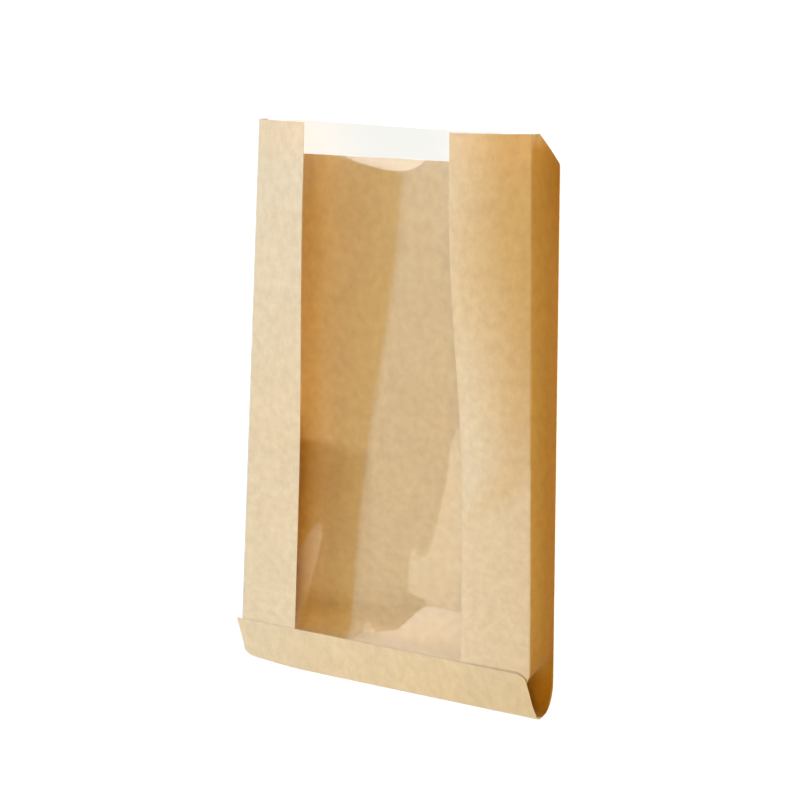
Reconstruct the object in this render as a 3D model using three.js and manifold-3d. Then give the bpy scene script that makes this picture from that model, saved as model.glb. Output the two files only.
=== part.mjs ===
// Paper bread bag with a clear window, empty and open, lying on its back panel.
//
// X runs across the bag, +Y from the folded bottom to the open mouth and +Z up, out of the back
// panel that it rests on. Heights are measured from the resting plane and lengths from the bottom
// fold. The bag has two pieces: the kraft paper, one sheet folded into a tube whose bottom end is
// pinched flat, turned up and glued on the front; and the clear film, glued behind the two paper
// strips of the front. Walls are drawn thicker than real paper and film.
import * as THREE from 'three';
import { mergeVertices } from 'three/addons/utils/BufferGeometryUtils.js';
import Module from 'manifold-3d';

const wasm = await Module();
wasm.setup();

// Driving dimensions, in millimetres.
const LENGTH = 358; // bottom fold to the front's cut edge
const BACK_LENGTH = 336; // the back is cut shorter than the front
const RIGHT_SIDE = 110; // right-hand creases, straight from bottom to mouth
const LEFT_FRONT = { bottom: -118.8, mouth: -95.4 }; // the front's left crease draws in
const LEFT_BACK = { bottom: -117, mouth: -106 };
const DEPTH_RIGHT = { bottom: 29, mouth: 34.7 }; // height of the front's creases
const DEPTH_LEFT = { bottom: 12.5, mouth: 18.8 };
const BULGE = 20.2; // how far the open mouth lifts the front above its creases
const BULGE_PLACE = 0.8; // where across the front it lifts most
const BULGE_ROUND = 0.36; // how round that ridge is
const BULGE_START = 120; // the front is flat below this length
const BULGE_END = 320; // and fully lifted from here on
const FOLD_HEIGHT = { left: 9.8, right: 14.2 }; // the bottom fold stands off the floor
const FOLD_STACK = 2; // the pinched layers at the fold
const FLAP_EDGE = { left: 26.4, right: 30.4 }; // turned-up end, from the fold to its free edge
const FLAP_PAPER = 1.2;
const FLAP_OVER_LEFT = 4.3; // it was turned up a little askew
const FLAP_SHORT_RIGHT = 5.5;
const FLAP_CORNER = 6; // radius of its right-hand corner
const BACK_CURL = { side: 24, middle: 45 }; // length over which the back curls up to the fold
const CURL_POWER = 3; // how suddenly it does
const GUSSET_FOLD = { left: 12, right: 4.8 }; // how far each side folds in
const GUSSET_PINCH = 13; // and how far just above the bottom
const GUSSET_OPEN = 42; // the sides have opened from that pinch at this length
const GUSSET_CUT = 0.66; // share of a side's height that the slanted mouth cut takes
const WINDOW = { left: 0.197, right: 0.775 }; // window's edges, as shares of the front's width
const WINDOW_START = 18; // it ends out of sight, under the flap
const FILM_START = 20; // as the film does
const WALL = 0.8;
const FILM = 0.5;
const GAP = 0.3; // between the film and the paper in front of it
const FILM_PROUD = 1; // film past the paper's cut edge
const HOLLOW_START = 7; // the pinched end is solid below this

// Steps of the mesh.
const FLAP_ROWS = 5;
const CORNER_ROWS = 4;
const BODY_ROWS = 13;
const BODY_CROWDING = 1.5; // how much closer these rows lie near the flap
const STEPS = { leftStrip: 5, window: 8, rightStrip: 6 };
const FILM_OVERLAP = { left: 2, right: 4 }; // steps of film glued behind each strip
const PAST = 12; // how far a cutting body runs past what it cuts
const MERGE = 1e-5; // corners closer than this are one

const lerp = THREE.MathUtils.lerp;
const smooth = (from, to, value) => THREE.MathUtils.smoothstep(value, from, to);
const spread = (from, to, steps) => Array.from({ length: steps }, (_, i) => lerp(from, to, i / steps));

// Places across the front, as shares of its width, with one on each edge of the window.
const SHARES = [
  ...spread(0, WINDOW.left, STEPS.leftStrip),
  ...spread(WINDOW.left, WINDOW.right, STEPS.window),
  ...spread(WINDOW.right, 1, STEPS.rightStrip),
  1,
];

// Lengths at which the rings of the mesh lie, closest round the turned-up bottom.
const PLACES = [
  ...spread(0, FLAP_EDGE.left, FLAP_ROWS),
  FLAP_EDGE.left,
  ...spread(0, 1, BODY_ROWS).map((part) => lerp(FLAP_EDGE.right, LENGTH, part ** BODY_CROWDING)),
  LENGTH,
];

const placesBetween = (from, to) => [from, ...PLACES.filter((y) => y > from && y < to), to];

// --- The bag's shape ---

// Share of the way from the flap's free edge to the mouth.
const along = (y) => Math.max((y - FLAP_EDGE.left) / (LENGTH - FLAP_EDGE.left), 0);

const frontLeft = (y) => lerp(LEFT_FRONT.bottom, LEFT_FRONT.mouth, along(y));

const backLeft = (y) => lerp(LEFT_BACK.bottom, LEFT_BACK.mouth, along(y));

const flapEdge = (share) => lerp(FLAP_EDGE.left, FLAP_EDGE.right, share);

const foldHeight = (share) => lerp(FOLD_HEIGHT.left, FOLD_HEIGHT.right, share);

// Height of the front's lift, from 0 at its creases to 1 at the ridge, with a rounded top.
function ridge(share) {
  const up = share / BULGE_PLACE;
  const down = (1 - share) / (1 - BULGE_PLACE);
  const blend = THREE.MathUtils.clamp(0.5 + (0.5 * (down - up)) / BULGE_ROUND, 0, 1);
  return lerp(down, up, blend) - BULGE_ROUND * blend * (1 - blend);
}

// Height of the front panel at a share of its width, from the left crease to the right one. It
// bends down to the bottom fold at the flap's free edge.
function frontHeight(share, y) {
  const reach = Math.max(y, flapEdge(share));
  const left = lerp(DEPTH_LEFT.bottom, DEPTH_LEFT.mouth, along(reach));
  const right = lerp(DEPTH_RIGHT.bottom, DEPTH_RIGHT.mouth, along(reach));
  const lift = BULGE * smooth(BULGE_START, BULGE_END, y) * ridge(share);
  const open = lerp(left, right, share) + lift;
  const closed = foldHeight(share) + FOLD_STACK / 2;
  return lerp(closed, open, Math.min(y / flapEdge(share), 1));
}

// Height of the back panel: flat on the floor, curling up to the bottom fold.
function backHeight(share, y) {
  const inward = 1 - (2 * share - 1) ** 2;
  const curl = lerp(BACK_CURL.side, BACK_CURL.middle, inward);
  const left = Math.max(1 - y / curl, 0);
  return (foldHeight(share) - FOLD_STACK / 2) * left ** CURL_POWER;
}

// How far a side folds in at a length: little along the bag, deep just above the bottom, and
// nothing at the fold itself, where the layers are pressed together.
function gussetFold(usual, y) {
  const pinch = 1 - smooth(HOLLOW_START, GUSSET_OPEN, y);
  return lerp(usual, GUSSET_PINCH, pinch) * smooth(0, HOLLOW_START, y);
}

// The bag's closed outline at a length, pulled in by inset on every side.
function outline(y, inset) {
  const under = [];
  const over = [];
  for (const share of SHARES) {
    const back = lerp(backLeft(y) + inset, RIGHT_SIDE - inset, share);
    const front = lerp(frontLeft(y) + inset, RIGHT_SIDE - inset, share);
    under.push([back, y, backHeight(share, y) + inset]);
    over.push([front, y, frontHeight(share, y) - inset]);
  }
  const folds = [gussetFold(GUSSET_FOLD.left, y), gussetFold(GUSSET_FOLD.right, y)];
  return ring(under, over, folds, inset);
}

// One closed ring of points: the lower line from left to right, the right-hand fold, the upper
// line back again and the left-hand fold. Each fold points inwards from halfway up its side.
function ring(under, over, folds = [0, 0], inset = 0) {
  const [left, right] = folds.map((fold, side) => {
    const low = under.at(-side);
    const high = over.at(-side);
    const slant = Math.hypot(1, (2 * fold) / (high[2] - low[2])) - 1;
    const inward = (side ? -1 : 1) * (fold + inset * slant);
    return [lerp(low[0], high[0], 0.5) + inward, low[1], lerp(low[2], high[2], 0.5)];
  });
  return [...under, right, ...over.reverse(), left];
}

// --- Closed bodies ---

// A closed body through a row of rings, all with as many points.
function loft(rings) {
  const count = rings[0].length;
  const index = [];
  for (let row = 0; row + 1 < rings.length; row += 1) {
    for (let i = 0; i < count; i += 1) {
      const next = (i + 1) % count;
      const here = row * count;
      const there = here + count;
      index.push(here + i, there + i, here + next);
      index.push(here + next, there + i, there + next);
    }
  }
  const end = cap(count);
  const last = (rings.length - 1) * count;
  index.push(...end.flat());
  index.push(...end.flatMap(([a, b, c]) => [last + a, last + c, last + b]));
  const geometry = new THREE.BufferGeometry();
  geometry.setAttribute('position', new THREE.Float32BufferAttribute(rings.flat(2), 3));
  geometry.setIndex(index);
  return geometry;
}

// The triangles across a ring: a fan from each fold and pairs between them.
function cap(count) {
  const steps = count / 2 - 2;
  const right = steps + 1;
  const left = count - 1;
  const over = (i) => count - 2 - i;
  const faces = [[left, 0, 1], [left, 1, over(1)], [left, over(1), over(0)]];
  for (let i = 1; i < steps - 1; i += 1) {
    faces.push([i, i + 1, over(i + 1)], [i, over(i + 1), over(i)]);
  }
  faces.push([right, over(steps), over(steps - 1)]);
  faces.push([right, over(steps - 1), steps - 1], [right, steps - 1, steps]);
  return faces;
}

function solid(geometry) {
  const bare = geometry.clone();
  bare.deleteAttribute('normal');
  bare.deleteAttribute('uv');
  const merged = mergeVertices(bare, MERGE);
  const mesh = new wasm.Mesh({
    numProp: 3,
    vertProperties: new Float32Array(merged.attributes.position.array),
    triVerts: new Uint32Array(merged.index.array),
  });
  return new wasm.Manifold(mesh);
}

function geometryOf(body) {
  const mesh = body.getMesh();
  const geometry = new THREE.BufferGeometry();
  geometry.setAttribute('position', new THREE.Float32BufferAttribute(mesh.vertProperties, 3));
  geometry.setIndex(Array.from(mesh.triVerts));
  return geometry;
}

// --- Kraft paper ---

// The tube's outside or, pulled in by the wall, its inside.
function tube(inset, from, to) {
  return loft(placesBetween(from, to).map((y) => outline(y, inset)));
}

const frontX = (share, y) => lerp(frontLeft(y), RIGHT_SIDE, share);

// What is cut out of the front for the window, from above the back's inside to clear of the front.
function windowCut() {
  const corners = [[WINDOW.left, WINDOW_START], [WINDOW.right, WINDOW_START],
    [WINDOW.right, LENGTH + PAST], [WINDOW.left, LENGTH + PAST]];
  const shape = new THREE.Shape(corners.map(([share, y]) => new THREE.Vector2(frontX(share, y), y)));
  const depth = DEPTH_RIGHT.mouth + BULGE;
  return new THREE.ExtrudeGeometry(shape, { depth, bevelEnabled: false }).translate(0, 0, FOLD_HEIGHT.left);
}

// What is cut off at the mouth: square across the back, then slanted up each side to the front's
// cut edge. Heights in the profile are shares of the bag's height at each side.
function mouthCut() {
  const profile = new THREE.Shape();
  profile.moveTo(BACK_LENGTH, -1);
  profile.lineTo(LENGTH + PAST, -1);
  profile.lineTo(LENGTH + PAST, GUSSET_CUT);
  profile.lineTo(LENGTH, GUSSET_CUT);
  profile.lineTo(BACK_LENGTH, 0);
  const left = LEFT_BACK.bottom - PAST;
  const depth = RIGHT_SIDE + PAST - left;
  const geometry = new THREE.ExtrudeGeometry(profile, { depth, bevelEnabled: false });
  const place = geometry.attributes.position;
  for (let i = 0; i < place.count; i += 1) {
    const height = lerp(DEPTH_LEFT.mouth, DEPTH_RIGHT.mouth, place.getZ(i) / depth);
    place.setXYZ(i, left + place.getZ(i), place.getX(i), place.getY(i) * height);
  }
  return geometry;
}

// The right-hand end of the flap at a share of the way up to its free edge, round at the corner.
function flapRight(part) {
  const intoCorner = Math.max(FLAP_CORNER - FLAP_EDGE.right * (1 - part), 0);
  const round = FLAP_CORNER - Math.sqrt(FLAP_CORNER ** 2 - intoCorner ** 2);
  return RIGHT_SIDE - FLAP_SHORT_RIGHT * part - round;
}

// The pinched end, turned up over the front.
function flap() {
  const cornerStart = 1 - FLAP_CORNER / FLAP_EDGE.right;
  const parts = [0, ...spread(cornerStart, 1, CORNER_ROWS), 1];
  return loft(parts.map((part) => {
    const left = LEFT_FRONT.bottom - FLAP_OVER_LEFT * part;
    const right = flapRight(part);
    const line = SHARES.map((share) => [lerp(left, right, share), part * flapEdge(share)]);
    return sheetRing(line, -WALL / 2, FLAP_PAPER);
  }));
}

// A ring round a sheet that follows the front panel, from one height to another above it. The line
// gives its places across and along the bag.
function sheetRing(line, bottom, top) {
  const shareAt = (x, y) => (x - frontLeft(y)) / (RIGHT_SIDE - frontLeft(y));
  const raised = (above) => line.map(([x, y]) => [x, y, frontHeight(shareAt(x, y), y) + above]);
  return ring(raised(bottom), raised(top));
}

function kraftPaper() {
  return solid(tube(0, 0, LENGTH))
    .subtract(solid(tube(WALL, HOLLOW_START, LENGTH + PAST)))
    .subtract(solid(windowCut()))
    .subtract(solid(mouthCut()))
    .add(solid(flap()));
}

// --- Window film ---

// One sheet behind both strips and the flap, following the front.
function windowFilm() {
  const first = STEPS.leftStrip - FILM_OVERLAP.left;
  const last = STEPS.leftStrip + STEPS.window + FILM_OVERLAP.right;
  const shares = SHARES.slice(first, last + 1);
  const top = -WALL - GAP;
  const places = placesBetween(FILM_START, LENGTH + FILM_PROUD);
  const line = (y) => shares.map((share) => [frontX(share, y), y]);
  return loft(places.map((y) => sheetRing(line(y), top - FILM, top)));
}

// --- The bag ---

const bag = new THREE.Group();

function addPiece(name, geometry, color, roughness) {
  const material = new THREE.MeshStandardMaterial({ color, roughness, metalness: 0 });
  const mesh = new THREE.Mesh(geometry, material);
  mesh.name = name;
  bag.add(mesh);
}

addPiece('kraft_paper', geometryOf(kraftPaper()), 0xdcbf92, 0.85);
addPiece('window_film', windowFilm(), 0xf2f4f4, 0.1);

// The origin is under the middle of the bag's box, on the floor.
const box = new THREE.Box3().setFromObject(bag);
const middle = box.getCenter(new THREE.Vector3());
bag.position.set(-middle.x, -middle.y, -box.min.z);

export default bag;
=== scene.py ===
import math

import bmesh
import bpy
from mathutils import Matrix, Vector


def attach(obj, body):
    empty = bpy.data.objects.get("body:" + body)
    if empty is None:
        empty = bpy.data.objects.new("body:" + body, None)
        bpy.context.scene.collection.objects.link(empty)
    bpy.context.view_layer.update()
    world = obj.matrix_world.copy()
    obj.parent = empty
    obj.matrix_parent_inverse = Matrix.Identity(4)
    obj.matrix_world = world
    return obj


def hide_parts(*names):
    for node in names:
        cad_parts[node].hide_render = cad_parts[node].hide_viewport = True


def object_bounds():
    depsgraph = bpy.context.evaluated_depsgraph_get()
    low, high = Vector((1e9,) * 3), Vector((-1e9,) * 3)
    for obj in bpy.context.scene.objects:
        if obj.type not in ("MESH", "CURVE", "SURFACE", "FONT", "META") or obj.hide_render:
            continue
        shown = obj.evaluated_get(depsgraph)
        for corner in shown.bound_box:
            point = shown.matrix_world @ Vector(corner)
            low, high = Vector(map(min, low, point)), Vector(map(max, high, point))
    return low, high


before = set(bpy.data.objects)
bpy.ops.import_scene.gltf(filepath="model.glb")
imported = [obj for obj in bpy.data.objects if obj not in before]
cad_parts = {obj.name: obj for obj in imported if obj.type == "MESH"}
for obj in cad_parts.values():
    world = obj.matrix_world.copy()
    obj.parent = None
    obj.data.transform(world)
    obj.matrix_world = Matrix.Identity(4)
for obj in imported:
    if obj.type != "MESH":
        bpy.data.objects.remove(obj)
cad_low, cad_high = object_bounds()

# ---------------------------------------------------------------------------------------------
# The view. The bag lies on its back on a pale floor and the camera looks down on its front from
# the right-hand side, past the mouth, with a long lens.
CAMERA_PLACE = Vector((0.7587, 0.2786, 1.1805))
CAMERA_AIM = Vector((0.0043, 0.0048, 0.0))
PICTURE_UP = Vector((0, 1, 0))
LENS = 102.08
FLOOR_SIZE = 6.0
FLOOR_GAP = 0.0001
FLOOR_WHITE = (0.6, 0.6, 0.6, 1)


def turn_to(obj, aim, up=PICTURE_UP):
    """Turns a camera or a lamp, which look along their own -Z, to face aim."""
    away = (obj.location - aim).normalized()
    right = up.cross(away).normalized()
    obj.rotation_euler = Matrix((right, away.cross(right), away)).transposed().to_euler()


def add_to_scene(name, data):
    obj = bpy.data.objects.new(name, data)
    bpy.context.scene.collection.objects.link(obj)
    return obj


scene = bpy.context.scene
camera = add_to_scene("camera", bpy.data.cameras.new("camera"))
camera.data.lens = LENS
camera.data.clip_end = 20
camera.location = CAMERA_PLACE
turn_to(camera, CAMERA_AIM)
scene.camera = camera
scene.view_settings.view_transform = "Standard"
scene.cycles.use_denoising = True

floor_mesh = bpy.data.meshes.new("floor")
bm = bmesh.new()
bmesh.ops.create_grid(bm, x_segments=1, y_segments=1, size=FLOOR_SIZE / 2)
bm.to_mesh(floor_mesh)
bm.free()
floor_mesh.transform(Matrix.Translation((0, 0, -FLOOR_GAP)))
floor = add_to_scene("floor", floor_mesh)
floor_paint = bpy.data.materials.new("floor_paint")
floor_paint.use_nodes = True
floor_paint.node_tree.nodes["Principled BSDF"].inputs["Base Color"].default_value = FLOOR_WHITE
floor_paint.node_tree.nodes["Principled BSDF"].inputs["Roughness"].default_value = 0.9
floor_mesh.materials.append(floor_paint)
floor.visible_diffuse = False
floor.visible_transmission = False

# ---------------------------------------------------------------------------------------------
# The light. A low cool lamp from the upper left throws the left strip's shadow on the inside of the
# back, soft boxes fill the rest, and three weak glows inside the bag stand for the light that
# bounces about in it. All these light the paper alone: the film has two cards, the floor a lamp.
KEY_FROM = Vector((-2.04, 1.14, 1.0))
KEY_SPREAD = 0.05
KEY_POWER = 3.68
KEY_COLOUR = (0.306, 0.534, 1.0)
BOX_AWAY = 1.6
BOX_SIZE = 0.8
# name: (side it stands on, power, colour)
BOXES = {
    "front_box": ((0, -1, 0.6), 11.2, (1.0, 0.95, 0.85)),
    "back_box": ((0, 1, 0.6), 8.2, (0.95, 1.0, 0.98)),
    "left_box": ((-1, 0, 0.6), 7.66, (0.95, 1.0, 0.6)),
    "right_box": ((1, 0, 2), 14.2, (1.0, 0.59, 0.07)),
    "bounce_box": ((1, 0, -0.5), 11.5, (1.0, 0.51, 0.005)),
    "left_bounce_box": ((-1, 0.2, -0.4), 20.0, (1.0, 0.48, 0.02)),
    "under_box": ((0, 0, -1), 25.6, (1.0, 0.52, 0.093)),
}
# name: (place, (width, length), power, colour)
GLOWS = {
    "fold_glow": ((-0.080, 0.07, 0.0105), (0.012, 0.17), 0.009, (1.0, 0.68, 0.38)),
    "low_glow": ((-0.088, -0.055, 0.007), (0.012, 0.11), 0.007, (1.0, 0.6, 0.12)),
    "flap_glow": ((0.0, -0.163, 0.0115), (0.2, 0.012), 0.007, (1.0, 0.8, 0.46)),
}
# name: (direction, size, power, colour)
CARDS = {
    "card": ((-0.45, -0.355, 0.82), 0.34, 0.62, (1.0, 0.93, 0.8)),
    "low_card": ((-0.49, -0.13, 0.86), 0.34, 1.3, (1.0, 0.97, 0.92)),
}
FLOOR_POWER = 5.25
FLOOR_SPREAD = 1.0
SURROUND = (0.047, 0.047, 0.047, 1)


def lamp(name, kind, place, power, colour=(1, 1, 1), lights=None, **settings):
    data = bpy.data.lights.new(name, kind)
    data.energy = power
    data.color = colour
    for key, value in settings.items():
        setattr(data, key, value)
    obj = add_to_scene(name, data)
    obj.location = place
    turn_to(obj, Vector((0, 0, 0)))
    obj.light_linking.receiver_collection = lights
    return obj


on_paper = bpy.data.collections.new("lit_paper")
on_film = bpy.data.collections.new("lit_film")
on_floor = bpy.data.collections.new("lit_floor")
on_floor.objects.link(floor)
lamp("key_lamp", "SUN", KEY_FROM, KEY_POWER, KEY_COLOUR, lights=on_paper, angle=KEY_SPREAD)
for name, (side, power, colour) in BOXES.items():
    place = Vector(side).normalized() * BOX_AWAY
    box = lamp(name, "AREA", place, power, colour, lights=on_paper, size=BOX_SIZE)
    if place.z < 0:  # these shine up past the floor, so only the paper may cast their shadow
        box.light_linking.blocker_collection = on_paper
for name, (place, (width, length), power, colour) in GLOWS.items():
    glow = lamp(name, "AREA", Vector(place), power, colour, lights=on_paper, shape="RECTANGLE",
                size=width, size_y=length)
    glow.rotation_euler = (0, 0, 0)  # straight down
    glow.visible_camera = glow.visible_glossy = False
for name, (side, size, power, colour) in CARDS.items():
    lamp(name, "AREA", Vector(side) * BOX_AWAY, power, colour, lights=on_film, size=size)
lamp("floor_lamp", "SUN", Vector((0, 0, 2)), FLOOR_POWER, lights=on_floor, angle=FLOOR_SPREAD,
     use_shadow=False)
world = bpy.data.worlds.new("surround")
world.use_nodes = True
world.node_tree.nodes["Background"].inputs["Color"].default_value = SURROUND
scene.world = world

# ---------------------------------------------------------------------------------------------
# The kraft paper. One sheet, cut with a toothed knife and folded into a tube with folded-in sides
# and an open strip for the window. The back panel runs on past the bottom, and that end is turned
# up and glued over the front as a flap.

# the tube: pairs are (at the bottom, at the mouth)
LENGTH = 0.358
BACK_LENGTH = 0.336
RIGHT = 0.110
FRONT_LEFT = (-0.1188, -0.0954)
BACK_LEFT = (-0.117, -0.106)
DEPTH_RIGHT = (0.029, 0.0347)
DEPTH_LEFT = (0.0125, 0.0188)

# the open mouth's raised ridge, and the low swelling beside the right crease
BULGE = 0.0222
BULGE_PLACE = 0.84
BULGE_ROUND = 1.0
BULGE_START = 0.120
BULGE_END = 0.320
SHOULDER = 0.0026
SHOULDER_ACROSS = 0.78
SHOULDER_START = (0.112, 0.140)
SHOULDER_STEP = 0.030
SHOULDER_END = (0.190, 0.280)

# the bottom fold and the turned-up flap: pairs are (left, right), (at the fold, above it) for
# FLAP_SHORT_RIGHT, (width, height) for FOLD_CORNER and FOLD_DRAWN_UP, (side, middle) for BACK_CURL
FOLD_HEIGHT = (0.0098, 0.0142)
FOLD_GAP = 0.001
FLAP_EDGE = (0.0264, 0.0304)
FLAP_OVER_LEFT = 0.0043
FLAP_SHORT_RIGHT = (0.0029, 0.0037)
FLAP_SHORT_FROM = 0.3
FLAP_CORNER = 0.005
FLAP_PROUD = 0.0004
FLAP_LIFT = 0.0005
FLAP_LIFT_FROM = 0.7
FLAP_FLAT = 0.0305
FLAP_FOOT = 0.02
FOLD_CORNER = (0.008, 0.0054)
FOLD_DRAWN_UP = (0.050, 0.0032)
DRAWN_CURVE = 1.5
FOLD_FULLNESS = 0.9
BACK_CURL = (0.020, 0.040)

# the sides: how far they fold in, and where along the bag
CREASE_TUCK = 0.0042
TUCK_END = 0.031
TUCK_START = 0.023
SIDE_FOLD_LEFT = 0.006
SIDE_FOLD_RIGHT = -0.0022
SIDE_FLAT = (0.27, 0.33)
SIDE_PINCH = 0.017
SIDE_OPEN = 0.042
PINCH_END = 0.007

# the mouth's cut, and the corner left uncut beside the right crease
UNCUT_LEFT = 1 / 3
UNCUT_RIGHT = 0.16
CUT_END_RIGHT = 0.3378
EAR_TURN = math.radians(50)
EAR_OUT = 0.0022
EAR_FOLD = 0.009
EAR_LIFT = (0.0032, 0.0004, 0.0057)
EAR_LIFT_FOLD = 0.0075
EAR_LIFT_END = 3 * UNCUT_RIGHT

# the window's left and right edge, as shares of the front's width
WINDOW = (0.197, 0.775)

# painted shade, drawing the paper's colour towards a deeper tone: a patch low in the left strip's shadow on
# the inside of the back (left, right), the right side and its pinched tip, from the front crease to the
# back one, and the right strip towards its crease, from the window to the crease
BACK_PAINTED_SHADE_TOP = (0.153, 0.149)
BACK_PAINTED_SHADE_LEFT = -0.078
BACK_PAINTED_SHADE_RIGHT = -0.022
BACK_PAINTED_SHADE_EDGE = 0.004
BACK_PAINTED_SHADE_FADE = (0.03, 0.135)
BACK_PAINTED_SHADE_LOW = 0.3
BACK_PAINTED_SHADE_DEPTH = 0.5
TUCK_SHADE = (0.07, 0.014)
SIDE_SHADE = (0.2, 0.85)
TUCK_DEEP = (0.55, 1)
STRIP_PAINTED_SHADE = (0.08, 0.22)
STRIP_SHADE_FADE = (0.42, 0.10)

# the paper's thickness, and the teeth of its cut
PAPER = 0.00015
TOOTH = 0.0004
TOOTH_FROM = 0.97
TOOTH_FLAP_ROWS = 3

MILLIMETRE = 0.001
# each panel's name and width in millimetres, round the tube
PANELS = (("right_strip", 50), ("right_side", 36), ("back", 220), ("left_side", 36), ("left_strip", 43))
TUBE_ROWS = 96
ROW_CROWDING = 1.25
FLAP_ROWS = 14
FOLD_ROWS = 6

origin = Vector((cad_low.x - FRONT_LEFT[0] + FLAP_OVER_LEFT, cad_low.y, 0))


def lerp(pair, part):
    return pair[0] + (pair[1] - pair[0]) * part


def clamp(value):
    return min(max(value, 0.0), 1.0)


def smooth(start, end, value):
    part = clamp((value - start) / (end - start))
    return part * part * (3 - 2 * part)


def along(y):
    """Share of the way from the flap's free edge to the mouth."""
    return max((y - FLAP_EDGE[0]) / (LENGTH - FLAP_EDGE[0]), 0)


def front_right(y):
    """Where the front's right crease runs. It tucks in under the end of the flap."""
    return RIGHT - CREASE_TUCK * smooth(TUCK_END, TUCK_START, y)


def front_x(share, y):
    return lerp((lerp(FRONT_LEFT, along(y)), front_right(y)), share)


def back_x(share, y):
    return lerp((lerp(BACK_LEFT, along(y)), RIGHT), share)


def ridge(share):
    """The front's lift across its width, 0 at the creases and 1 at the rounded ridge."""
    up = share / BULGE_PLACE
    down = (1 - share) / (1 - BULGE_PLACE)
    blend = clamp(0.5 + 0.5 * (down - up) / BULGE_ROUND)
    return lerp((down, up), blend) - BULGE_ROUND * blend * (1 - blend)


def shoulder(share, y):
    """A low swelling beside the right crease that starts at a slanting fold."""
    across = clamp((share - SHOULDER_ACROSS) / (1 - SHOULDER_ACROSS))
    start = lerp(SHOULDER_START, across)
    rise = smooth(start, start + SHOULDER_STEP, y) * (1 - smooth(*SHOULDER_END, y))
    return SHOULDER * math.sin(math.pi * across) * rise


def front_z(share, y):
    """Height of the front panel. It bends down to the bottom fold at the flap's free edge."""
    edge = lerp(FLAP_EDGE, share)
    far = along(max(y, edge))
    flat = lerp((lerp(DEPTH_LEFT, far), lerp(DEPTH_RIGHT, far)), share)
    lift = BULGE * smooth(BULGE_START, BULGE_END, y) * ridge(share) + shoulder(share, y)
    closed = lerp(FOLD_HEIGHT, share) + FOLD_GAP
    return lerp((closed, flat + lift), min(y / edge, 1))


def back_z(share, y):
    """Height of the back panel: flat on the floor, curling up to the bottom fold."""
    curl = lerp(BACK_CURL, 1 - (2 * share - 1) ** 2)
    round_off = 1 - math.sqrt(1 - max(1 - y / curl, 0) ** 2)
    return (lerp(FOLD_HEIGHT, share) - FOLD_GAP) * round_off


def side_fold(usual, y):
    """How far a side folds in at its middle, deepest just above the bottom."""
    pinch = 1 - smooth(PINCH_END, SIDE_OPEN, y)
    return lerp((usual, SIDE_PINCH), pinch) * smooth(0, PINCH_END, y)


def side_bow(part, y):
    """How a side folds in from crease to crease: a sharp fold near the bottom, a soft bow above."""
    sharp = 1 - abs(2 * part - 1)
    bow = math.sin(math.pi * part)
    return lerp((bow, sharp), 1 - smooth(SIDE_OPEN / 2, 2 * SIDE_OPEN, y))


def cut_length(panel, part):
    """Where the mouth is cut: square on the front and the back, slanted on the sides."""
    if panel == "right_side":
        return lerp((LENGTH, CUT_END_RIGHT), clamp((part - UNCUT_RIGHT) / (1 - UNCUT_RIGHT)))
    if panel == "left_side":
        return lerp((LENGTH, BACK_LENGTH), clamp((1 - part - UNCUT_LEFT) / (1 - UNCUT_LEFT)))
    return BACK_LENGTH if panel == "back" else LENGTH


def ear_flat(part, y):
    """How far the uncut corner beside the right crease is folded out flat, 1 at its tip."""
    across = clamp(part / UNCUT_RIGHT) * smooth(EAR_LIFT_END, UNCUT_RIGHT, part)
    return across * clamp(1 - (cut_length("right_side", part) - y) / EAR_LIFT_FOLD)


def tube_point(panel, part, y):
    """A point of the tube, part of the way across one of its panels."""
    if panel == "right_strip":
        share = lerp((WINDOW[1], 1), part)
        return Vector((front_x(share, y), y, front_z(share, y)))
    if panel == "right_side":
        usual = SIDE_FOLD_RIGHT * (1 - smooth(*SIDE_FLAT, y))
        inward = side_fold(usual, y) * side_bow(part, y)
        x = lerp((front_right(y), RIGHT), part)
        z = lerp((front_z(1, y), back_z(1, y)), part)
        ear = min((front_z(1, y) - z) * math.tan(EAR_TURN), EAR_OUT * (1 - part**2))
        flare = ear * smooth(EAR_FOLD, 0, cut_length(panel, part) - y)
        return Vector((x - inward + flare, y, z)) + ear_flat(part, y) * Vector(EAR_LIFT)
    if panel == "back":
        share = 1 - part
        return Vector((back_x(share, y), y, back_z(share, y)))
    if panel == "left_side":
        inward = side_fold(SIDE_FOLD_LEFT, y) * side_bow(part, y)
        x = lerp((back_x(0, y), front_x(0, y)), part)
        return Vector((x + inward, y, lerp((back_z(0, y), front_z(0, y)), part)))
    share = lerp((0, WINDOW[0]), part)
    return Vector((front_x(share, y), y, front_z(share, y)))


def flap_point(share, part):
    """A point of the turned-up flap, from the fold (part 0) to its free edge (part 1)."""
    into_corner = max(FLAP_CORNER - FLAP_EDGE[1] * (1 - part), 0)
    corner = FLAP_CORNER - math.sqrt(FLAP_CORNER**2 - into_corner**2)
    left = FRONT_LEFT[0] - FLAP_OVER_LEFT * part
    right = RIGHT - lerp(FLAP_SHORT_RIGHT, smooth(0, FLAP_SHORT_FROM, part)) - corner
    x = lerp((left, right), share)
    y = part * lerp(FLAP_EDGE, share)
    over = (x - front_x(0, y)) / (front_x(1, y) - front_x(0, y))
    proud = FLAP_PROUD + FLAP_LIFT * part * smooth(FLAP_LIFT_FROM, 1, share)
    return Vector((x, y, front_z(over, y) + proud))


def corner_lift(point):
    """How far the rounded lower left corner is drawn up, fading out at the flap's free edge."""
    from_left = point.x - FRONT_LEFT[0]
    rounding = FOLD_CORNER[1] * (1 - math.sqrt(1 - clamp(1 - from_left / FOLD_CORNER[0]) ** 2))
    drawn_up = FOLD_DRAWN_UP[1] * clamp(1 - from_left / FOLD_DRAWN_UP[0]) ** DRAWN_CURVE
    return (rounding + drawn_up) * clamp(1 - point.y / FLAP_EDGE[0])


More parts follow.
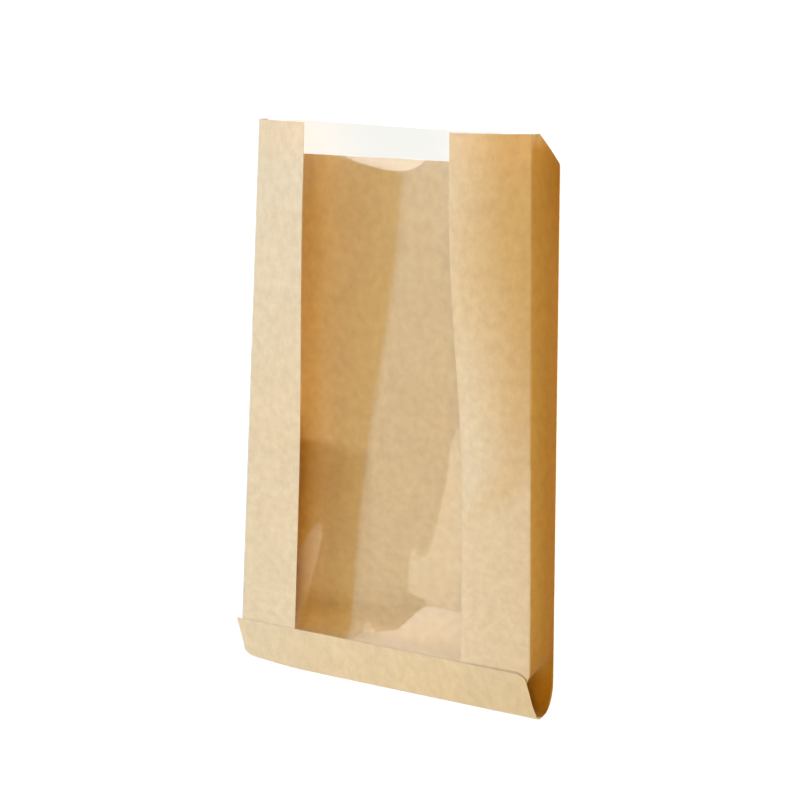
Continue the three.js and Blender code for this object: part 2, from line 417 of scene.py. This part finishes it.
def fold_point(share, part):
    """A point of the bottom fold, from the back panel (part 0) round to the flap (part 1)."""
    step = MILLIMETRE / 2
    start = tube_point("back", 1 - share, 0)
    leaving = (start - tube_point("back", 1 - share, step)).normalized()
    end = flap_point(share, 0)
    arriving = (flap_point(share, FLAP_FOOT) - end).normalized()
    reach = (end - start).length * FOLD_FULLNESS
    handle_1 = start + leaving * reach
    handle_2 = end - arriving * reach
    rest = 1 - part
    return (rest**3 * start + 3 * rest**2 * part * handle_1
            + 3 * rest * part**2 * handle_2 + part**3 * end)


def painted_shade_depth(panel, part, point):
    """How far painted shade draws the paper's colour deeper: a patch in the shadow inside the back, the
    right side, its pinched tip, and the right strip near its crease.
    """
    # painted shade: a darker patch under a slanting top edge, low in the left strip's shadow on the inside
    # of the back, fading to the right and weaker near the bottom
    if panel == "back":
        across = clamp((point.x - BACK_PAINTED_SHADE_LEFT) / (BACK_PAINTED_SHADE_RIGHT - BACK_PAINTED_SHADE_LEFT))
        top = lerp(BACK_PAINTED_SHADE_TOP, across)
        depth = BACK_PAINTED_SHADE_DEPTH * math.sqrt(1 - across) * smooth(top, top - BACK_PAINTED_SHADE_EDGE, point.y)
        return depth * lerp((BACK_PAINTED_SHADE_LOW, 1), smooth(*BACK_PAINTED_SHADE_FADE, point.y))
    # painted shade: the right side deeper towards its back crease and far deeper in its pinched tip near
    # the bottom, none on the folded-out corner at the mouth
    if panel == "right_side":
        shade = lerp((lerp(SIDE_SHADE, part), lerp(TUCK_DEEP, part)), smooth(*TUCK_SHADE, point.y))
        return shade * (1 - ear_flat(part, point.y))
    # painted shade: the right strip deeper towards its crease, most low down and fading towards the mouth
    if panel == "right_strip":
        return lerp(STRIP_PAINTED_SHADE, part) * smooth(*STRIP_SHADE_FADE, point.y)
    return 0


def on_back(column):
    """Whether a column of the sheet is on the back panel, both its edges included."""
    panel, part = columns[column]
    return panel == "back" or (panel == "left_side" and part == 0)


# the flat sheet: a column for each millimetre round the tube, and rows up the flap, the fold and
# the tube. Each vertex is then moved to its place in the folded bag.
columns = [(name, i / width) for name, width in PANELS for i in range(width)] + [(PANELS[-1][0], 1.0)]
flap_rows = FLAP_ROWS + FOLD_ROWS
steps = (len(columns) - 1, flap_rows + TUBE_ROWS)
bm = bmesh.new()
bmesh.ops.create_grid(bm, x_segments=steps[0], y_segments=steps[1], size=0.5)
paper_uv = bm.loops.layers.uv.new("paper")
painted_shade = bm.verts.layers.float.new("painted_shade")
grid_place = {v: (round((v.co.x + 0.5) * steps[0]), round((v.co.y + 0.5) * steps[1])) for v in bm.verts}
no_flap = [v for v, (column, row) in grid_place.items() if row < flap_rows and not on_back(column)]
for face in bm.faces:
    for loop in face.loops:
        column, row = grid_place[loop.vert]
        flat_y = (row - flap_rows) / TUBE_ROWS * LENGTH
        if row < flap_rows:
            flat_y = -FLAP_FLAT * (flap_rows - row) / flap_rows
        loop[paper_uv].uv = (column * MILLIMETRE, flat_y)
for v, (column, row) in grid_place.items():
    panel, part = columns[column]
    if row >= flap_rows:
        up = (row - flap_rows) / TUBE_ROWS
        tooth = TOOTH * (column % 2) * smooth(TOOTH_FROM, 1, up)
        v.co = tube_point(panel, part, (cut_length(panel, part) - tooth) * up**ROW_CROWDING)
        # the painted shade, kept on each vertex for the paper's colour
        v[painted_shade] = painted_shade_depth(panel, part, v.co)
    elif on_back(column):
        share = 1 - part if panel == "back" else 0
        if row >= FLAP_ROWS:
            v.co = fold_point(share, 1 - (row - FLAP_ROWS) / FOLD_ROWS)
        else:
            tooth = TOOTH * (column % 2) * smooth(TOOTH_FLAP_ROWS, 0, row)
            v.co = flap_point(share, (1 - row / FLAP_ROWS) * (1 - tooth / FLAP_EDGE[0]))
    v.co.y += corner_lift(v.co)
    v.co += origin
bmesh.ops.delete(bm, geom=no_flap, context="VERTS")
for edge in bm.edges:
    edge.smooth = not edge.is_boundary
bm.normal_update()
paper_mesh = bpy.data.meshes.new("paper_bag")
bm.to_mesh(paper_mesh)
bm.free()
paper_bag = add_to_scene("paper_bag", paper_mesh)
for polygon in paper_mesh.polygons:
    polygon.use_smooth = True

# the paper's look: cloudy tones, fibres that catch the light, some light let through, and painted shade
# drawn into its colour
kraft = bpy.data.materials.new("kraft_paper")
kraft.use_nodes = True
nodes, links = kraft.node_tree.nodes, kraft.node_tree.links
PAPER_TONES = ((0.75, 0.652, 0.457, 1), (0.86, 0.776, 0.582, 1))
THROUGH_TONES = ((0.80, 0.48, 0.145, 1), (1.0, 0.76, 0.30, 1))
TONE_PLACES = (0.33, 0.67)
PAPER_THROUGH = 0.22
CLOUDS = 160
BLOTCHES = 38
FIBRES = 1500
CLOUD_SHARE = 0.6
BLOTCH_SHARE = 0.17
FIBRE_SHARE = 0.23
FIBRE_STRETCH = (1.0, 0.13, 1.0)
FIBRE_DEPTH = 0.00006
# the tone that the painted shade draws the paper's colour towards
PAINTED_SHADE_TONE = (0.60, 0.36, 0.04, 1)


def node(kind, **inputs):
    """A new node, with values for its sockets by name, or by place as i0, i1, ..."""
    new = nodes.new(kind)
    for key, value in inputs.items():
        socket = int(key[1:]) if key[0] == "i" and key[1:].isdigit() else key.replace("_", " ")
        if isinstance(value, bpy.types.NodeSocket):
            links.new(value, new.inputs[socket])
        else:
            new.inputs[socket].default_value = value
    return new


def arithmetic(operation, first, second):
    new = node("ShaderNodeMath", i0=first, i1=second)
    new.operation = operation
    return new.outputs[0]


def tones(share, pair):
    new = node("ShaderNodeValToRGB", Fac=share)
    for element, place, colour in zip(new.color_ramp.elements, TONE_PLACES, pair):
        element.position, element.color = place, colour
    return new.outputs["Color"]


def with_painted_shade(colour):
    """The colour, drawn towards the painted shade's tone by the paper's painted shade attribute."""
    new = nodes.new("ShaderNodeMix")
    new.data_type = "RGBA"
    new.blend_type = "MULTIPLY"
    links.new(painted_shade_share.outputs["Fac"], new.inputs[0])
    links.new(colour, new.inputs[6])
    new.inputs[7].default_value = PAINTED_SHADE_TONE
    return new.outputs[2]


painted_shade_share = node("ShaderNodeAttribute")
painted_shade_share.attribute_name = "painted_shade"
paper_place = node("ShaderNodeUVMap")
paper_place.uv_map = "paper"
along_fibres = node("ShaderNodeMapping", Vector=paper_place.outputs[0], Scale=FIBRE_STRETCH)
clouds = node("ShaderNodeTexNoise", Vector=paper_place.outputs[0], Scale=CLOUDS, Detail=4.0,
              Roughness=0.6)
blotches = node("ShaderNodeTexNoise", Vector=paper_place.outputs[0], Scale=BLOTCHES, Detail=2.0,
                Roughness=0.5)
fibres = node("ShaderNodeTexNoise", Vector=along_fibres.outputs[0], Scale=FIBRES, Detail=3.0,
              Roughness=0.7)
uneven = arithmetic("ADD", arithmetic("MULTIPLY", clouds.outputs[0], CLOUD_SHARE),
                    arithmetic("MULTIPLY", blotches.outputs[0], BLOTCH_SHARE))
uneven = arithmetic("ADD", uneven, arithmetic("MULTIPLY", fibres.outputs[0], FIBRE_SHARE))
rough_face = node("ShaderNodeBump", Height=fibres.outputs[0], Strength=0.5, Distance=FIBRE_DEPTH)
paper_front = nodes["Principled BSDF"]
paper_front.inputs["Roughness"].default_value = 0.7
paper_front.inputs["Specular IOR Level"].default_value = 0.25
# painted shade darkens both the paper's own colour and the colour of the light it lets through
links.new(with_painted_shade(tones(uneven, PAPER_TONES)), paper_front.inputs["Base Color"])
links.new(rough_face.outputs[0], paper_front.inputs["Normal"])
paper_through = node("ShaderNodeBsdfTranslucent", Color=with_painted_shade(tones(uneven, THROUGH_TONES)))
mix = node("ShaderNodeMixShader", Fac=PAPER_THROUGH, i1=paper_front.outputs[0],
           i2=paper_through.outputs[0])
links.new(mix.outputs[0], nodes["Material Output"].inputs["Surface"])
paper_mesh.materials.append(kraft)
wall = paper_bag.modifiers.new("wall", "SOLIDIFY")
wall.thickness = PAPER
wall.offset = -1
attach(paper_bag, "root")
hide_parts("kraft_paper")
on_paper.objects.link(paper_bag)

# ---------------------------------------------------------------------------------------------
# The window film. One sheet of thin clear film, glued behind both strips and the flap. It has
# buckled into flat facets low down on the right and along the left strip, where it shines.
# FILM_MARGIN is how far it runs behind the left and the right strip, as shares of the front's width
FILM_MARGIN = (0.077, 0.150)
FILM_START = 0.020
FILM_PROUD = 0.001
FILM_GAP = 0.0003
FILM = 0.00006
FILM_COLUMNS = 150
FILM_ROWS = 260
FACET_SOFT = 0.0008
# how far the face tilts, and the facet's outline in millimetres across and up from the bottom fold
FACETS = (
    # the long band down the window's right edge and the rounded patch below it
    ((0.08, 0.0), ((58.5, 177), (52, 166), (48.9, 144), (44, 127), (37.7, 104), (33, 93), (28.5, 91.5),
                   (25.5, 93), (24, 98), (21, 94), (18.6, 85), (18.4, 71), (21, 67), (30.5, 64.6),
                   (33, 62), (80, 62), (80, 180))),
    # the pale corner at the lower right, and its finger along the flap
    ((0.08, 0.105), ((33, 62), (22.7, 54.1), (10, 42), (-7.4, 37), (6, 10), (80, 10), (80, 62))),
    ((0.06, 0.07), ((-7.4, 37), (-13, 43), (-16, 43), (-19, 35), (-34, 25), (-34, 10), (6, 10))),
    # the leaf shape beside the left strip
    ((0.0865, 0.0), ((-51.6, 103), (-49.2, 101), (-49.5, 91), (-53.7, 77), (-60.8, 55.5), (-66, 42),
                     (-70, 27), (-90, 26), (-90, 82.5), (-71, 82.7), (-66.8, 86), (-58.2, 98.7))),
    # the bright wedge at the mouth
    ((0.22, -0.07), ((-24.7, 339.8), (-17.9, 337.5), (-12, 335.7), (-2.8, 334.2), (9.6, 332.6),
                     (23.5, 332.3), (30, 333), (38.1, 335.6), (44.5, 339), (46.1, 341.1))),
    # the upper right edge, turned away from the cards
    ((-0.06, 0.0), ((52, 200), (90, 200), (90, 345), (58, 345), (52, 330))),
)


def edge_distance(x, y, outline):
    """Distance of a place from an outline, counted positive inside it."""
    inside = False
    nearest = math.inf
    for (x0, y0), (x1, y1) in zip(outline, outline[1:] + outline[:1]):
        dx, dy = x1 - x0, y1 - y0
        part = clamp(((x - x0) * dx + (y - y0) * dy) / (dx * dx + dy * dy))
        nearest = min(nearest, math.hypot(x0 + part * dx - x, y0 + part * dy - y))
        if (y0 > y) != (y1 > y) and x < x0 + (y - y0) / dy * dx:
            inside = not inside
    return nearest if inside else -nearest


def film_place(column, row):
    """Share across the front, and distance up from the bottom fold."""
    share = lerp((WINDOW[0] - FILM_MARGIN[0], WINDOW[1] + FILM_MARGIN[1]), column / FILM_COLUMNS)
    return share, lerp((FILM_START, LENGTH + FILM_PROUD), row / FILM_ROWS)


bm = bmesh.new()
bmesh.ops.create_grid(bm, x_segments=FILM_COLUMNS, y_segments=FILM_ROWS, size=0.5)
buckle = bm.verts.layers.float_vector.new("buckle")
for v in bm.verts:
    column, row = round((v.co.x + 0.5) * FILM_COLUMNS), round((v.co.y + 0.5) * FILM_ROWS)
    share, y = film_place(column, row)
    place = Vector((front_x(share, y), y, front_z(share, y) - PAPER - FILM_GAP))
    for tilt, outline in FACETS:
        distance = edge_distance(place.x / MILLIMETRE, place.y / MILLIMETRE, outline) * MILLIMETRE
        v[buckle] += Vector((*tilt, 0)) * smooth(-FACET_SOFT, FACET_SOFT, distance)
    v.co = origin + place
bm.normal_update()
film_mesh = bpy.data.meshes.new("window_film")
bm.to_mesh(film_mesh)
bm.free()
for polygon in film_mesh.polygons:
    polygon.use_smooth = True
window_film = add_to_scene("clear_window", film_mesh)
film_wall = window_film.modifiers.new("wall", "SOLIDIFY")
film_wall.thickness = FILM
film_wall.offset = -1

# the film's look: clear, with a soft shine that grows at a slant and turns with the buckles
clear = bpy.data.materials.new("clear_film")
clear.use_nodes = True
nodes, links = clear.node_tree.nodes, clear.node_tree.links
nodes.remove(nodes["Principled BSDF"])
CLEAR_TINT = (0.972, 0.977, 0.96, 1)
SHINE_ROUGHNESS = 0.1
SHINE_FACING = 0.045
SHINE_CURVE = 5.0
see_through = node("ShaderNodeBsdfTransparent", Color=CLEAR_TINT)
buckled = node("ShaderNodeAttribute")
buckled.attribute_name = "buckle"
film_face = node("ShaderNodeVectorMath", i0=node("ShaderNodeNewGeometry").outputs["Normal"],
                 i1=buckled.outputs["Vector"])
film_face = node("ShaderNodeVectorMath", i0=film_face.outputs[0])
film_face.operation = "NORMALIZE"
shine = node("ShaderNodeBsdfGlossy", Roughness=SHINE_ROUGHNESS, Normal=film_face.outputs[0])
facing = node("ShaderNodeLayerWeight", Blend=0.5)
steep = arithmetic("POWER", facing.outputs["Facing"], SHINE_CURVE)
share_back = node("ShaderNodeMapRange", Value=steep, To_Min=SHINE_FACING, To_Max=1.0)
mix = node("ShaderNodeMixShader", Fac=share_back.outputs[0], i1=see_through.outputs[0], i2=shine.outputs[0])
links.new(mix.outputs[0], nodes["Material Output"].inputs["Surface"])
film_mesh.materials.append(clear)
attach(window_film, "root")
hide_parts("window_film")
on_film.objects.link(window_film)
